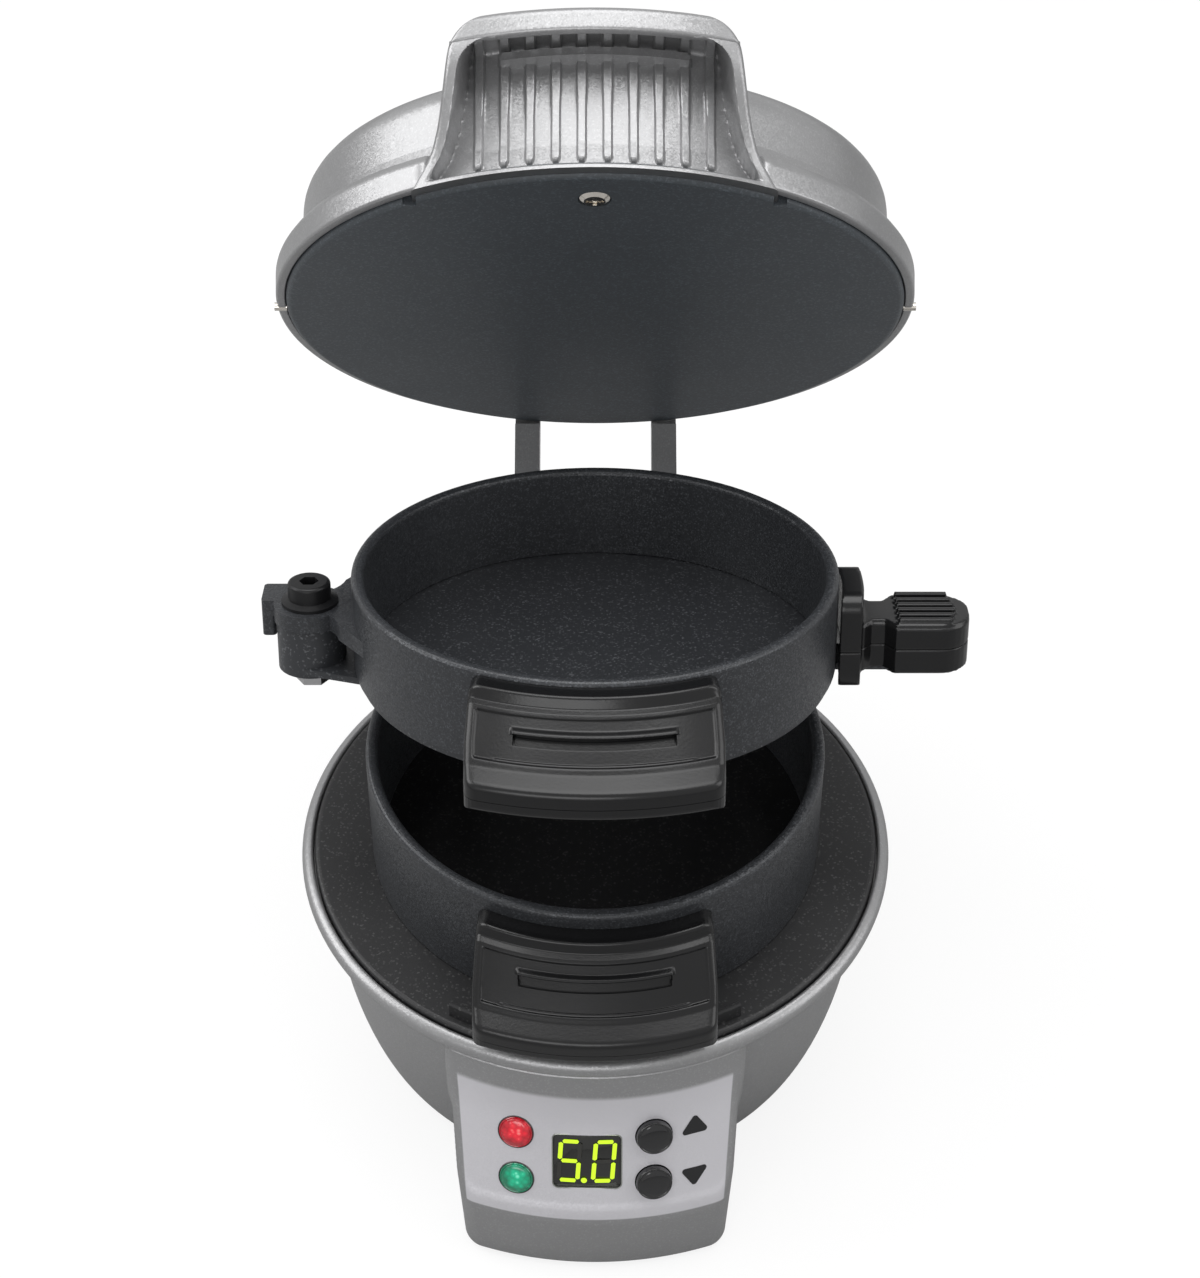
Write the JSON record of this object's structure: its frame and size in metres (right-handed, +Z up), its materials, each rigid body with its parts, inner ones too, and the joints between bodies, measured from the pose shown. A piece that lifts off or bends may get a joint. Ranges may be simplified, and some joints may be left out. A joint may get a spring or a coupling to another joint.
{
  "type": "breakfast sandwich maker",
  "caption": "Tabletop breakfast sandwich maker: heated bowl base with timer, stacked hinged rings with a swinging egg plate, and a heated domed lid.",
  "frame": {"origin": "on the table, under the middle of the round base (the rings' axis when closed)", "axes": "+Z up; -Y is the front with the control panel and handles; +X to the right seen from the front"},
  "size_m": [0.1652, 0.2128, 0.2622],
  "materials": {
    "housing_paint": "silver metallic-flake paint, satin",
    "dark_plastic": "matt black moulding",
    "rubber": "matt black rubber",
    "screw_steel": "zinc-plated steel",
    "base_plate_coat": "black non-stick coating, satin",
    "lid_plate_coat": "dark blue-grey non-stick coating, satin",
    "ring_coat": "charcoal non-stick coating with fine sparkle",
    "egg_plate_coat": "charcoal non-stick coating, smooth",
    "handle_black": "satin black phenolic moulding",
    "black_screw": "black oxide steel",
    "heater_steel": "dull sheathed steel",
    "shield_steel": "bright rolled sheet",
    "beige_plastic": "heat-proof beige moulding",
    "board_green": "green laminate",
    "display_dark": "liquid-crystal glass, olive grey",
    "window_tint": "clear tinted window",
    "red_lens": "translucent red, faceted",
    "green_lens": "translucent green, faceted",
    "key_gloss": "gloss black",
    "pin_steel": "ground steel",
    "nickel": "bright nickel plate"
  },
  "bodies": {
    "base": {"base_housing": "housing_paint", "bottom_cover": "dark_plastic", "rubber_feet": "rubber", "cover_screws": "screw_steel", "lower_plate": "base_plate_coat", "lower_plate_screws": "screw_steel", "lower_heater": "heater_steel", "lower_heat_shield": "shield_steel", "thermostat": "beige_plastic", "thermal_fuse": "beige_plastic", "board_frame": "dark_plastic", "control_board": "board_green", "board_screws": "screw_steel", "key_switches": "dark_plastic", "display_module": "display_dark", "display_window": "window_tint", "power_lens": "red_lens", "preheat_lens": "green_lens", "cord_gland": "rubber", "hinge_pin": "pin_steel", "pin_clips": "screw_steel"},
    "key_up": {"key_up": "key_gloss"},
    "key_down": {"key_down": "key_gloss"},
    "lower_ring": {"lower_ring": "ring_coat", "lower_handle_top": "handle_black", "lower_handle_underside": "handle_black", "lower_handle_screws": "screw_steel"},
    "upper_ring": {"upper_ring": "ring_coat", "upper_handle_top": "handle_black", "upper_handle_underside": "handle_black", "upper_handle_screws": "screw_steel", "pivot_screw": "black_screw", "pivot_washer": "screw_steel", "pivot_nut": "screw_steel"},
    "egg_plate": {"egg_plate": "egg_plate_coat", "egg_handle_top": "handle_black", "egg_handle_underside": "handle_black", "egg_handle_screws": "screw_steel"},
    "lid": {"lid_shell": "housing_paint", "lid_handle": "housing_paint", "lid_plate": "lid_plate_coat", "lid_plate_screw": "nickel", "lid_heater": "heater_steel", "lid_reflector": "shield_steel", "lid_hinge_arms": "housing_paint", "lid_arm_screws": "screw_steel", "lid_side_pins": "nickel"}
  },
  "joints": [
    {"name": "lower_ring_hinge", "type": "hinge", "parent": "base", "child": "lower_ring", "pos_m": [0, 0.077, 0.086], "axis": [-1, 0, 0], "range_deg": [0, 35]},
    {"name": "upper_ring_hinge", "type": "hinge", "parent": "lower_ring", "child": "upper_ring", "pos_m": [0, 0.077, 0.086], "axis": [-1, 0, 0], "range_deg": [-16.5, 20]},
    {"name": "lid_hinge", "type": "hinge", "parent": "upper_ring", "child": "lid", "pos_m": [0, 0.077, 0.086], "axis": [-1, 0, 0], "range_deg": [-44.5, 34]},
    {"name": "egg_plate_swing", "type": "hinge", "parent": "upper_ring", "child": "egg_plate", "pos_m": [-0.0665, 0.00615, 0.11794], "axis": [0, 0.284, 0.9588], "range_deg": [-105, 0]},
    {"name": "key_up_press", "type": "slide", "parent": "base", "child": "key_up", "axis": [0, 0.9272, -0.3746], "range_m": [0, 0.001], "stiffness_N_per_m": 400},
    {"name": "key_down_press", "type": "slide", "parent": "base", "child": "key_down", "axis": [0, 0.9272, -0.3746], "range_m": [0, 0.001], "stiffness_N_per_m": 400}
  ]
}
